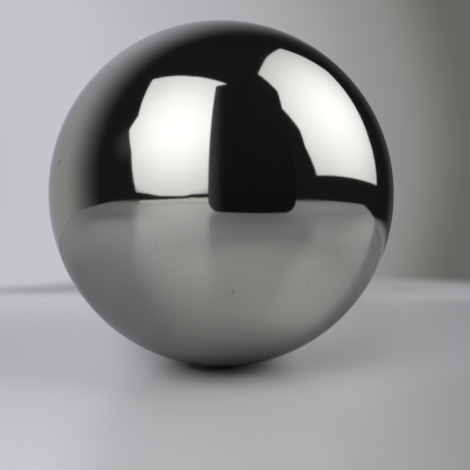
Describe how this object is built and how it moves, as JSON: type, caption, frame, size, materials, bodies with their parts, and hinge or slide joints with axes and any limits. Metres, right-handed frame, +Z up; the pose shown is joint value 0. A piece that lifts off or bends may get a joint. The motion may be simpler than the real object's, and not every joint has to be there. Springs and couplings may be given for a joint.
{
  "type": "steel ball",
  "caption": "Solid polished steel ball with a mirror finish, for use as a bearing or tooling ball or a small bench weight.",
  "frame": {"origin": "centre of the ball", "axes": "+Z up, away from the point the ball rests on; -Y towards the front, with the small nick round to the left of it; every diameter is an axis of symmetry, apart from the nick"},
  "size_m": [0.0634, 0.0634, 0.0636],
  "materials": {
    "polished_steel": "polished"
  },
  "bodies": {
    "root": {"ball": "polished_steel"}
  },
  "joints": []
}
